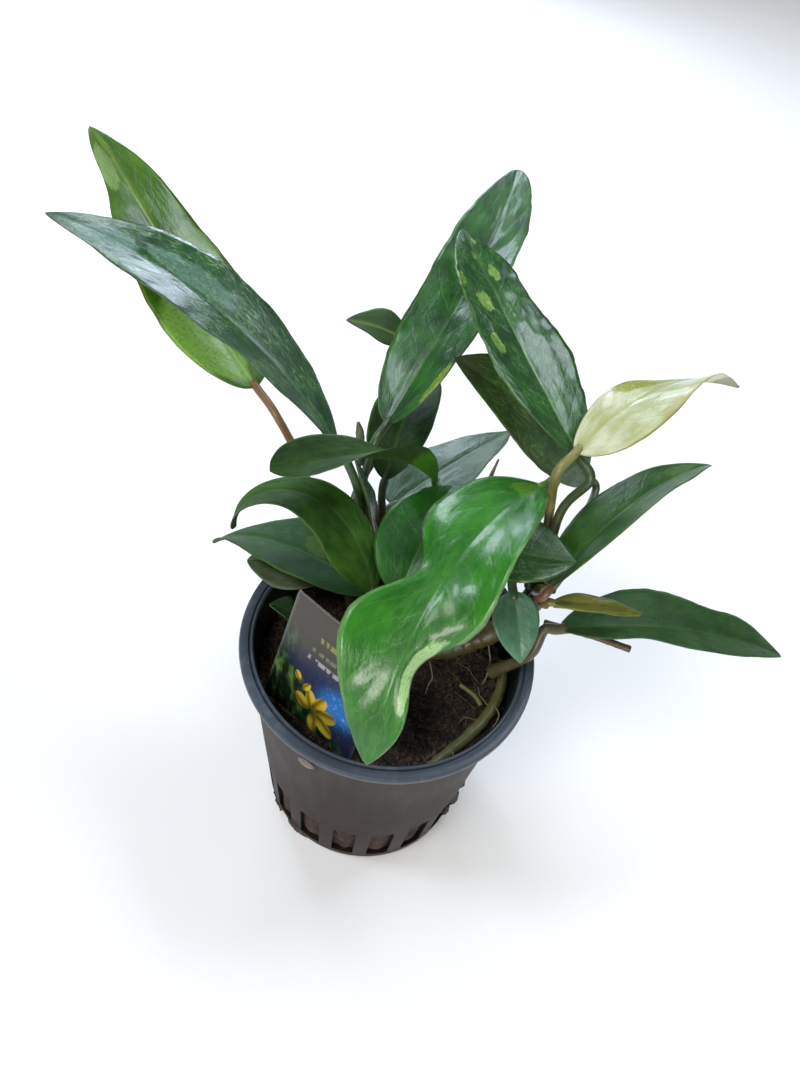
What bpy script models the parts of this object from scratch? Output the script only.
"""Potted anubias: a grey plastic net pot with its growing medium, a plain plant label, and one plant.

Frame: origin at the centre of the pot's base, +Z up, and -Y is the front. Sizes are in millimetres
and are turned into metres by MM.
"""

import math

import bmesh
import bpy
from mathutils import Matrix, Vector

MM = 0.001
GAP = 0.3

# The pot: a round net pot of the 55 mm size
RIM_RADIUS = 27.5
POT_HEIGHT = 53.0
BASE_RADIUS = 21.4
WALL = 0.9
RIM_WIDTH = 2.0
RIM_THICKNESS = 1.4
WALL_TOP_RADIUS = RIM_RADIUS - RIM_WIDTH + 0.2
FLOOR = 1.0
POT_STEPS = 54

SLOTS = 18
SLOT_WIDTH = 4.6
SLOT_BOTTOM = 3.0
SLOT_TOP = 16.0
SLOT_START = -92.0

# The growing medium fills the pot to nine millimetres below the rim
MEDIUM_TOP = 44.0
MEDIUM_RIPPLE = 0.5
MEDIUM_STEPS = 32

# The label stands on the medium at the front left, close to the wall, and leans back
LABEL_WIDTH = 21.0
LABEL_LENGTH = 24.5
LABEL_THICKNESS = 0.6
LABEL_FOOT = (-11.6, -16.2, 44.5)
LABEL_TURN = -30.0
LABEL_LEAN = 19.0

# Leaves
BLADE_THICKNESS = 0.5
BLADE_STEPS = 12
SMALL_BLADE = 26.5
SMALL_BLADE_STEPS = 8
BLADE_COLUMNS = 4
LEAST_HALF_WIDTH = 0.45
MARGIN_WAVES = 1.6
DIP_SPREAD = 0.12
PETIOLE_RADIUS = 0.8
PETIOLE_STEPS = 7
PETIOLE_GAP = 0.45
PETIOLE_APPROACH = 0.15
LONGEST_APPROACH = 8.0

LEAF_DEFAULTS = {
    "arch": 0, "droop": 0, "lift": 0, "swing": 0, "widest": 0.4, "roll": 0, "twist": 0,
    "skew": 0.0, "fold": 12, "wave": 0.3, "phase": 0, "left_dip": (0.0, 0.5),
    "right_dip": (0.0, 0.5), "knee": None, "stalk": PETIOLE_RADIUS, "colour": "dark", "blunt": 0.85,
}

# Each leaf: where its blade starts, the way it heads from above, how steeply it rises, how much it
# arches over its length and droops at its tip, its length and width, and where its stalk is rooted.
# Angles are in degrees. A dip is how deep a margin cuts in, and where along the blade it does so.
# "left" is the left hand of someone looking along the leaf from its stalk.
LEAVES = {
    "pale_back": {
        "base": (-34.2, 31.4, 79.2), "heading": 145, "rise": 32, "arch": 8, "droop": -23, "swing": -8,
        "length": 57, "width": 19, "widest": 0.37, "blunt": 0.78, "roll": -3, "twist": 3, "fold": 6,
        "wave": 1.3, "phase": 138, "left_dip": (0.3, 0.80), "foot": (-12.8, 16.6, 50.2),
        "knee": (-24.0, 27.0, 66.0),
        "colour": "light",
    },
    "long_left": {
        "base": (-15.9, 18.8, 80.4), "heading": 159, "rise": 44, "arch": -56, "droop": 5, "swing": 4,
        "length": 69.5, "width": 19, "widest": 0.43, "roll": 11, "twist": -31, "phase": -50,
        "foot": (-9.8, 17.5, 51.2), "colour": "blue",
    },
    "tall_back": {
        "base": (-8.7, 28.6, 79.5), "heading": 75, "rise": 41, "arch": -30, "droop": -10, "swing": 25,
        "length": 65.5, "width": 17.5, "widest": 0.38, "blunt": 0.62, "roll": -17, "twist": 13,
        "fold": 13, "wave": 0.6, "phase": 30, "foot": (-8.0, 19.0, 51.8), "knee": (-11.0, 23.0, 66.0),
    },
    "variegated": {
        "base": (24.1, 17.2, 90.8), "heading": 122.5, "rise": 25, "arch": -21, "swing": -18,
        "length": 52, "width": 18.5, "widest": 0.39, "blunt": 0.75, "roll": 9, "twist": -11,
        "skew": 0.05, "fold": 11, "wave": 0.4, "phase": 110, "right_dip": (0.12, 0.60),
        "foot": (24.8, 7.6, 66.2), "knee": (24.0, 13.6, 80.5),
    },
    "under_variegated": {
        "base": (31.4, 35.4, 71.0), "heading": 184.5, "rise": 49, "arch": -27, "droop": 5,
        "length": 38.5, "width": 21.5, "widest": 0.39, "roll": -21, "twist": -5, "fold": 14,
        "foot": (26.6, 9.2, 65.6), "knee": (30.4, 22.0, 66.5), "colour": "olive",
    },
    "small_back": {
        "base": (-9.0, 62.3, 74.2), "heading": 187, "rise": 30, "arch": -30, "length": 15,
        "width": 11, "roll": -6, "foot": (-11.8, 17.8, 51.0), "knee": (-12.2, 28.5, 63.0),
        "colour": "olive",
    },
    "behind_tall": {
        "base": (-7.5, 28.0, 65.7), "heading": 83.5, "rise": 42, "arch": -53, "droop": -13,
        "length": 32.5, "width": 14, "widest": 0.41, "roll": -12, "twist": 4, "fold": 13,
        "foot": (-3.0, 18.8, 52.4),
    },
    "blue_back": {
        "base": (-5.3, 29.2, 57.7), "heading": 52.5, "rise": 10, "arch": -17, "droop": 3,
        "length": 37.5, "width": 20, "widest": 0.32, "roll": -20, "twist": -9, "fold": 9, "wave": 0.6,
        "phase": -52, "foot": (-5.6, 19.6, 51.8), "colour": "blue",
    },
    "upright_left": {
        "base": (-4.5, 2.0, 62.7), "heading": 175, "rise": 75, "arch": -88, "droop": -89, "lift": -20,
        "swing": 99, "length": 40, "width": 13.7, "widest": 0.49, "blunt": 0.71, "roll": 9.6,
        "twist": 49.5, "skew": 0.29, "fold": 8, "foot": (-2.0, 3.2, 50.9), "colour": "light",
    },
    "low_left": {
        "base": (-4.9, 5.0, 59.3), "heading": 157.5, "rise": 7.5, "arch": -50, "droop": -13,
        "swing": 4.5, "length": 43, "width": 17, "widest": 0.36, "roll": 11, "twist": 22,
        "foot": (-5.0, 4.2, 50.4),
    },
    "shaded_left": {
        "base": (-13.6, 9.7, 55.8), "heading": 174.5, "rise": 5, "arch": -28, "droop": -4,
        "length": 17.5, "width": 15, "foot": (-8.3, 5.2, 49.6), "colour": "brown",
    },
    "front": {
        "base": (20.3, 15.9, 84.2), "heading": -112, "rise": 12.5, "arch": -85, "droop": 2,
        "swing": 36.5, "length": 60.5, "width": 22.5, "widest": 0.44, "roll": 3, "twist": -30.5,
        "skew": -0.13, "fold": 7, "wave": 3.2, "phase": -95, "left_dip": (0.65, 0.70),
        "right_dip": (0.64, 0.46), "foot": (22.8, 8.6, 66.2), "knee": (19.8, 12.0, 76.0),
        "colour": "bright",
    },
    "centre": {
        "base": (-0.1, 0.6, 65.5), "heading": 76.5, "rise": 38, "arch": -43, "droop": -13,
        "length": 26, "width": 16.5, "widest": 0.39, "foot": (1.2, 1.6, 51.6), "colour": "bright",
    },
    "cream": {
        "base": (23.1, 15.8, 92.6), "heading": 41, "rise": 38, "arch": -77, "droop": 15.5,
        "swing": -21, "length": 41, "width": 11.9, "widest": 0.335, "blunt": 0.99, "roll": -23,
        "twist": -72, "skew": -0.29, "wave": 0.5, "phase": -60, "fold": 10,
        "foot": (24.3, 9.9, 66.0), "knee": (22.4, 14.4, 80.0), "colour": "cream",
    },
    "right_upper": {
        "base": (24.3, 1.5, 75.0), "heading": 50, "rise": 29.5, "arch": -43, "droop": -5,
        "swing": -16, "length": 45.5, "width": 13.5, "widest": 0.41, "roll": -34, "twist": 19,
        "fold": 15, "foot": (23.4, 5.9, 66.0),
    },
    "right_lower": {
        "base": (29.4, 3.8, 61.8), "heading": 16, "rise": 7, "arch": -41, "droop": 2,
        "length": 53, "width": 15.5, "widest": 0.42, "roll": -6, "twist": 12, "skew": 0.12,
        "left_dip": (0.22, 0.62), "right_dip": (0.40, 0.27), "foot": (20.0, 0.0, 49.5),
        "knee": (25.4, 0.3, 57.0), "stalk": 1.0,
    },
    "rolled_new": {
        "base": (26.8, 5.3, 67.0), "heading": 7, "rise": 8, "arch": -24, "droop": 10, "swing": 12,
        "length": 16.5, "width": 4.8, "fold": 30, "foot": (25.6, 5.6, 65.9), "colour": "olive",
    },
    "inner_right": {
        "base": (13.9, 4.5, 78.6), "heading": -3, "rise": 11.5, "arch": -13, "droop": 10, "swing": 10,
        "length": 13.5, "width": 14, "widest": 0.37, "roll": 5, "twist": -12, "foot": (10.0, 3.6, 53.2),
        "knee": (11.5, 4.0, 70.0),
    },
    "hanging": {
        "base": (18.8, 2.2, 71.6), "heading": -67, "rise": -19, "arch": -39, "droop": 5, "swing": 8,
        "length": 12.5, "width": 8.5, "widest": 0.38, "roll": 4, "skew": -0.1,
        "foot": (14.5, 3.6, 55.2), "knee": (16.5, 4.0, 70.0), "colour": "blue",
    },
    "hooked": {
        "base": (2.4, 24.2, 71.5), "heading": 219, "rise": 43, "arch": -52, "droop": 21, "lift": 30,
        "swing": 12, "length": 39.3, "width": 12.6, "widest": 0.643, "blunt": 0.54, "roll": 31.5,
        "twist": -87, "skew": 0.07, "fold": 21.5, "foot": (1.8, 17.5, 53.4), "knee": (2.6, 19.5, 62.0),
        "colour": "light",
    },
    "crown_small": {
        "base": (-6.2, 18.0, 56.4), "heading": 191, "rise": 78, "arch": -5, "length": 24.5, "width": 8.5,
        "foot": (-6.4, 17.0, 52.6),
    },
    "in_pot": {
        "base": (-17.0, 4.5, 47.0), "heading": 200, "rise": 45, "arch": -10, "length": 9, "width": 7,
        "foot": (-14.5, 6.5, 45.0), "stalk": 0.5,
    },
}

LEAF_COLOURS = {
    "dark": (0.035, 0.14, 0.045),
    "blue": (0.05, 0.15, 0.10),
    "bright": (0.07, 0.25, 0.04),
    "light": (0.20, 0.36, 0.08),
    "cream": (0.55, 0.58, 0.28),
    "olive": (0.16, 0.22, 0.05),
    "brown": (0.07, 0.09, 0.05),
}

# Round pieces that follow a path, with the radius at each point
RHIZOMES = {
    "rhizome_back": [((-15.0, 16.0, 46.6), 1.6), ((-10.0, 17.5, 48.4), 2.1), ((-4.0, 17.5, 49.6), 2.2),
                     ((2.5, 17.0, 50.4), 2.0)],
    "rhizome_front": [((-9.0, 4.8, 46.4), 1.5), ((-3.0, 3.8, 47.8), 1.9), ((4.0, 2.2, 48.9), 2.0),
                      ((11.0, 2.4, 50.8), 2.0), ((18.0, 5.2, 54.0), 2.0), ((22.4, 7.0, 58.6), 2.2),
                      ((24.2, 7.8, 65.2), 2.2)],
}
ROOTS = {
    "root_along_wall": [((22.4, 3.5, 49.0), 0.8), ((22.6, -1.0, 46.2), 1.0), ((21.0, -6.5, 45.7), 1.1),
                        ((17.6, -12.0, 45.7), 1.1), ((11.4, -19.6, 45.7), 0.8)],
    "root_side": [((15.0, -1.5, 45.2), 0.35), ((18.0, -3.4, 45.4), 0.5), ((19.4, -5.2, 45.5), 0.5)],
}
CUT_STEM = [((26.9, 5.4, 60.6), 0.7), ((36.0, 4.6, 60.8), 0.6), ((43.0, 3.9, 60.2), 0.65)]
ROUND_STEPS = 3


def clear_scene():
    for old in list(bpy.data.objects):
        bpy.data.objects.remove(old, do_unlink=True)


def new_collection(name, hidden=False):
    collection = bpy.data.collections.new(name)
    collection.hide_render = hidden
    bpy.context.scene.collection.children.link(collection)
    return collection


def make_material(name, colour, roughness, metallic=0.0):
    material = bpy.data.materials.new(name)
    material.use_nodes = True
    shader = material.node_tree.nodes["Principled BSDF"]
    shader.inputs["Base Color"].default_value = (*colour, 1.0)
    shader.inputs["Roughness"].default_value = roughness
    shader.inputs["Metallic"].default_value = metallic
    return material


def add_object(name, data, material, collection):
    obj = bpy.data.objects.new(name, data)
    if material:
        data.materials.append(material)
    collection.objects.link(obj)
    return obj


def mesh_from(bm, name, smooth=True):
    bmesh.ops.recalc_face_normals(bm, faces=bm.faces)
    mesh = bpy.data.meshes.new(name)
    bm.to_mesh(mesh)
    bm.free()
    if smooth:
        mesh.shade_smooth()
        mesh.set_sharp_from_angle(angle=math.radians(35))
    return mesh


def wall_radius(z):
    """Outer radius of the pot's wall at a height."""
    return BASE_RADIUS + (WALL_TOP_RADIUS - BASE_RADIUS) * z / POT_HEIGHT


def screw_object(name, profile, steps, material, collection):
    """Turns an outline, listed down its outer side and ending on the axis, about +Z."""
    bm = bmesh.new()
    points = [bm.verts.new((r * MM, 0, z * MM)) for r, z in profile]
    for start, end in zip(points, points[1:]):
        bm.edges.new((start, end))
    mesh = bpy.data.meshes.new(name)
    bm.to_mesh(mesh)
    bm.free()
    obj = add_object(name, mesh, material, collection)
    screw = obj.modifiers.new("turn", "SCREW")
    screw.axis = "Z"
    screw.steps = steps
    screw.render_steps = steps
    screw.use_merge_vertices = True
    screw.merge_threshold = 0.00005
    return obj


def cut(obj, cutter):
    boolean = obj.modifiers.new("cut_" + cutter.name, "BOOLEAN")
    boolean.operation = "DIFFERENCE"
    boolean.solver = "EXACT"
    boolean.object = cutter


def as_cutter(obj):
    obj.hide_render = True
    obj.display_type = "WIRE"


def slot_cutter(cutters):
    """Eighteen blocks round the foot of the pot, one for each slot in its wall."""
    bm = bmesh.new()
    depth = 8.0
    height = SLOT_TOP - SLOT_BOTTOM
    for index in range(SLOTS):
        turn = math.radians(SLOT_START + index * 360 / SLOTS)
        place = (
            Matrix.Rotation(turn, 4, "Z")
            @ Matrix.Translation(Vector((wall_radius(SLOT_TOP) + 1.0, 0, SLOT_BOTTOM + height / 2)) * MM)
            @ Matrix.Diagonal(Vector((depth * MM, SLOT_WIDTH * MM, height * MM, 1)))
        )
        bmesh.ops.create_cube(bm, size=1.0, matrix=place)
    cutter = add_object("slot_cutter", mesh_from(bm, "slot_cutter", False), None, cutters)
    as_cutter(cutter)
    return cutter


def make_pot(collection, cutters):
    inner_base = BASE_RADIUS - WALL
    inner_top = WALL_TOP_RADIUS - WALL
    under_rim = POT_HEIGHT - RIM_THICKNESS
    profile = [
        (0, FLOOR),
        (inner_base, FLOOR),
        (inner_top, POT_HEIGHT - 0.4),
        (inner_top + 0.3, POT_HEIGHT),
        (RIM_RADIUS - 0.4, POT_HEIGHT),
        (RIM_RADIUS, POT_HEIGHT - 0.4),
        (RIM_RADIUS, under_rim),
        (wall_radius(under_rim), under_rim),
        (wall_radius(SLOT_TOP + 4), SLOT_TOP + 4),
        (wall_radius(0.5), 0.5),
        (BASE_RADIUS - 0.5, 0),
        (0, 0),
    ]
    plastic = make_material("pot_plastic", (0.20, 0.20, 0.20), 0.45)
    pot = screw_object("net_pot", profile, POT_STEPS, plastic, collection)
    cut(pot, slot_cutter(cutters))
    return pot


def label_matrix():
    """Places the label's own frame: X along its width, Y up its length, Z out of its face."""
    turn = Matrix.Rotation(math.radians(LABEL_TURN), 4, "Z")
    lean = Matrix.Rotation(math.radians(90 - LABEL_LEAN), 4, "X")
    return Matrix.Translation(Vector(LABEL_FOOT) * MM) @ turn @ lean


def make_medium(collection):
    """A plug that fills the pot, with a slightly uneven top."""
    clear = WALL + GAP
    rings = [0.25, 0.5, 0.75, 0.92]
    foot = FLOOR + GAP
    top_radius = wall_radius(MEDIUM_TOP) - clear
    outline = [(0, foot), (wall_radius(foot) - clear, foot), (top_radius, MEDIUM_TOP - 0.6)]
    outline += [(top_radius * part, MEDIUM_TOP) for part in reversed(rings)]
    outline += [(0, MEDIUM_TOP)]
    bm = bmesh.new()
    points = [bm.verts.new((r * MM, 0, z * MM)) for r, z in outline]
    edges = [bm.edges.new(pair) for pair in zip(points, points[1:])]
    bmesh.ops.spin(bm, geom=points + edges, axis=(0, 0, 1), cent=(0, 0, 0),
                   steps=MEDIUM_STEPS, angle=2 * math.pi)
    bmesh.ops.remove_doubles(bm, verts=bm.verts, dist=0.00002)
    for vert in bm.verts:
        if vert.co.z > (MEDIUM_TOP - 0.1) * MM:
            ripple = math.sin(vert.co.x / MM * 0.42) * math.cos(vert.co.y / MM * 0.31 + 0.7)
            vert.co.z -= MEDIUM_RIPPLE * (0.5 + 0.5 * ripple) * MM
    soil = make_material("growing_medium", (0.045, 0.03, 0.02), 0.95)
    return add_object("growing_medium", mesh_from(bm, "growing_medium"), soil, collection)


def make_label(collection):
    card = make_material("label_card", (0.12, 0.11, 0.16), 0.35)
    bm = bmesh.new()
    size = Matrix.Diagonal(Vector((LABEL_WIDTH, LABEL_LENGTH, LABEL_THICKNESS, 1 / MM)) * MM)
    middle = Matrix.Translation(Vector((0, LABEL_LENGTH / 2 * MM, 0)))
    bmesh.ops.create_cube(bm, size=1.0, matrix=label_matrix() @ middle @ size)
    return add_object("plant_label", mesh_from(bm, "plant_label", False), card, collection)


def edge_shape(t, widest, blunt):
    """Half width of a blade along it, 0 at both ends and 1 at the widest place. A lower blunt is fuller."""
    power = math.log(0.5) / math.log(widest)
    return max(math.sin(math.pi * t**power), 0.0) ** blunt


def blade_directions(leaf, t):
    """Forward, sideways (left) and upward directions of a blade at t."""
    rise = math.radians(leaf["rise"] + leaf["arch"] * t + leaf["droop"] * t**4
                        + leaf["lift"] * (1 - t) ** 6)
    heading = math.radians(leaf["heading"] + leaf["swing"] * (t - 0.5))
    roll = math.radians(leaf["roll"] + leaf["twist"] * (t - 0.5))
    forward = Vector((math.cos(rise) * math.cos(heading), math.cos(rise) * math.sin(heading),
                      math.sin(rise)))
    level = Vector((-math.sin(heading), math.cos(heading), 0))
    upright = forward.cross(level)
    side = level * math.cos(roll) + upright * math.sin(roll)
    up = upright * math.cos(roll) - level * math.sin(roll)
    return forward, side, up


def blade_midrib(leaf, steps):
    """Points along the middle of a blade, in millimetres."""
    points = [Vector(leaf["base"])]
    for index in range(steps):
        forward = blade_directions(leaf, (index + 0.5) / steps)[0]
        points.append(points[-1] + forward * leaf["length"] / steps)
    return points


def make_blade(name, leaf, material, collection):
    """A grid bent to the leaf's outline and arch, thickened on both sides."""
    steps = BLADE_STEPS if leaf["length"] > SMALL_BLADE else SMALL_BLADE_STEPS
    bm = bmesh.new()
    bmesh.ops.create_grid(bm, x_segments=steps, y_segments=BLADE_COLUMNS, size=0.5)
    midrib = blade_midrib(leaf, steps)
    fold = math.radians(leaf["fold"])
    for vert in bm.verts:
        t = min(max(vert.co.x + 0.5, 0.0), 1.0)
        across = vert.co.y * 2
        row = round(t * steps)
        side, up = blade_directions(leaf, t)[1:]
        lean = 1.0 if across >= 0 else -1.0
        dip, dip_place = leaf["left_dip"] if lean > 0 else leaf["right_dip"]
        outline = edge_shape(t, leaf["widest"], leaf["blunt"])
        half = leaf["width"] / 2 * (1 + lean * leaf["skew"]) * outline
        half *= 1 - dip * math.exp(-(((t - dip_place) / DIP_SPREAD) ** 2))
        half = max(half, LEAST_HALF_WIDTH)
        turns = 2 * math.pi * (MARGIN_WAVES * t + (0.0 if lean > 0 else 0.5))
        ripple = leaf["wave"] * math.sin(math.pi * t) * math.sin(turns + math.radians(leaf["phase"]))
        spread = half * across
        lift = half * abs(across) * math.sin(fold) + ripple * across**2
        vert.co = (midrib[row] + side * spread * math.cos(fold) + up * lift) * MM
    blade = add_object(name, mesh_from(bm, name), material, collection)
    shell = blade.modifiers.new("thickness", "SOLIDIFY")
    shell.thickness = BLADE_THICKNESS * MM
    shell.offset = 0.0
    return blade


def smooth_path(corners, steps):
    """Catmull-Rom curve through (point, radius) corners."""
    rows = [(Vector(point), radius) for point, radius in corners]
    first = (rows[0][0] * 2 - rows[1][0], rows[0][1])
    last = (rows[-1][0] * 2 - rows[-2][0], rows[-1][1])
    ends = [first] + rows + [last]
    path = []
    for index in range(1, len(ends) - 2):
        (a, _), (b, rb), (c, rc), (d, _) = ends[index - 1:index + 3]
        for step in range(steps):
            t = step / steps
            point = (b * 2 + (c - a) * t + (a * 2 - b * 5 + c * 4 - d) * t**2
                     + (b * 3 - a - c * 3 + d) * t**3) * 0.5
            path.append((point, rb + (rc - rb) * t))
    path.append(rows[-1])
    return path


def make_tube(name, path, material, collection, resolution=1):
    """A round piece along (point, radius) rows, closed at both ends."""
    curve = bpy.data.curves.new(name, "CURVE")
    curve.dimensions = "3D"
    curve.bevel_depth = MM
    curve.bevel_resolution = resolution
    curve.use_fill_caps = True
    spline = curve.splines.new("POLY")
    spline.points.add(len(path) - 1)
    for target, (point, radius) in zip(spline.points, path):
        target.co = (*(point * MM), 1.0)
        target.radius = radius
    spline.use_smooth = True
    return add_object(name, curve, material, collection)


def make_petiole(name, leaf, material, collection):
    """The stalk from the leaf's foot to the start of its blade, arriving along the blade."""
    forward = blade_directions(leaf, 0.0)[0]
    foot = Vector(leaf["foot"])
    end = Vector(leaf["base"]) - forward * PETIOLE_GAP
    reach = (end - foot).length
    if leaf["knee"]:
        approach = end - forward * min(reach * PETIOLE_APPROACH, LONGEST_APPROACH)
        corners = [(point, leaf["stalk"]) for point in (foot, leaf["knee"], approach, end)]
        path = smooth_path(corners, PETIOLE_STEPS // 2)
        # The last stretch is short and straight, so it needs no points between its ends.
        del path[1 - PETIOLE_STEPS // 2:-1]
    else:
        start_pull = foot + Vector((0, 0, 1)) * reach * 0.35
        end_pull = end - forward * reach * 0.35
        path = []
        for step in range(PETIOLE_STEPS):
            t = step / (PETIOLE_STEPS - 1)
            point = (foot * (1 - t) ** 3 + start_pull * 3 * t * (1 - t) ** 2
                     + end_pull * 3 * t**2 * (1 - t) + end * t**3)
            path.append((point, leaf["stalk"]))
    return make_tube(name, path, material, collection)


def make_leaves(collection):
    stalk = make_material("petiole", (0.16, 0.12, 0.05), 0.4)
    shades = {name: make_material("leaf_" + name, colour, 0.3) for name, colour in LEAF_COLOURS.items()}
    for name, given in LEAVES.items():
        leaf = {**LEAF_DEFAULTS, **given}
        make_blade("leaf_" + name, leaf, shades[leaf["colour"]], collection)
        make_petiole("petiole_" + name, leaf, stalk, collection)


def make_round_pieces(collection):
    bark = make_material("rhizome", (0.17, 0.14, 0.05), 0.55)
    root = make_material("root", (0.30, 0.28, 0.10), 0.5)
    stem = make_material("cut_stem", (0.10, 0.06, 0.03), 0.5)
    for name, corners in RHIZOMES.items():
        make_tube(name, smooth_path(corners, ROUND_STEPS), bark, collection, 2)
    for name, corners in ROOTS.items():
        make_tube(name, smooth_path(corners, ROUND_STEPS), root, collection, 1)
    make_tube("cut_stem", smooth_path(CUT_STEM, ROUND_STEPS), stem, collection, 1)


def main():
    clear_scene()
    collection = new_collection("potted_anubias")
    cutters = new_collection("cutters", hidden=True)
    make_pot(collection, cutters)
    make_medium(collection)
    make_label(collection)
    make_round_pieces(collection)
    make_leaves(collection)


main()
